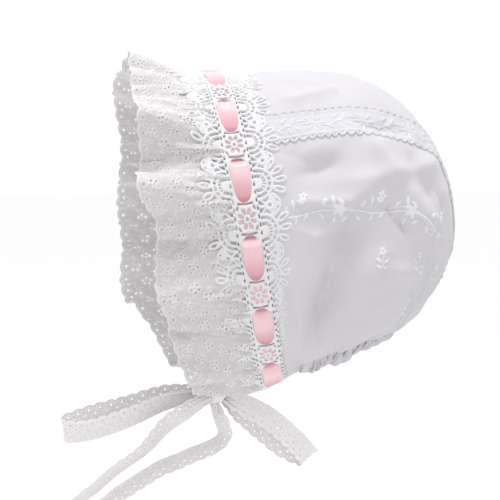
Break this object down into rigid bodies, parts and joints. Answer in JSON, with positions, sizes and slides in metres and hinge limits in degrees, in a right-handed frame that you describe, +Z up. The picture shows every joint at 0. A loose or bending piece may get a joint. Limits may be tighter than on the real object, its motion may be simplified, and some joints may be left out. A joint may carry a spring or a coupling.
{
  "type": "baby bonnet",
  "caption": "Baby bonnet, hollow lawn crown with eyelet ruffle round the face, beading lace threaded with ribbon, gathered neck and lace ties in a bow.",
  "frame": {"origin": "inside top of the crown, where the top of the wearer's head bears", "axes": "+Z up, -Y the way the wearer faces (out of the face opening), +X the wearer's left"},
  "size_m": [0.146, 0.1959, 0.2278],
  "materials": {
    "lawn": "matt, fine plain weave",
    "eyelet": "matt cotton with embroidered eyelets",
    "lace": "matt corded guipure",
    "satin": "glossy satin",
    "tie": "matt eyelet trim"
  },
  "bodies": {
    "root": {"crown": "lawn", "insertion_left": "lace", "insertion_right": "lace", "lace_band": "lace", "ribbon": "satin", "ruffle": "eyelet", "neck_casing": "lawn", "tie_left": "tie", "tie_right": "tie", "bow_knot": "tie", "bow_loop_front": "tie", "bow_loop_back": "tie", "tail_front": "tie", "tail_back": "tie"}
  },
  "joints": []
}
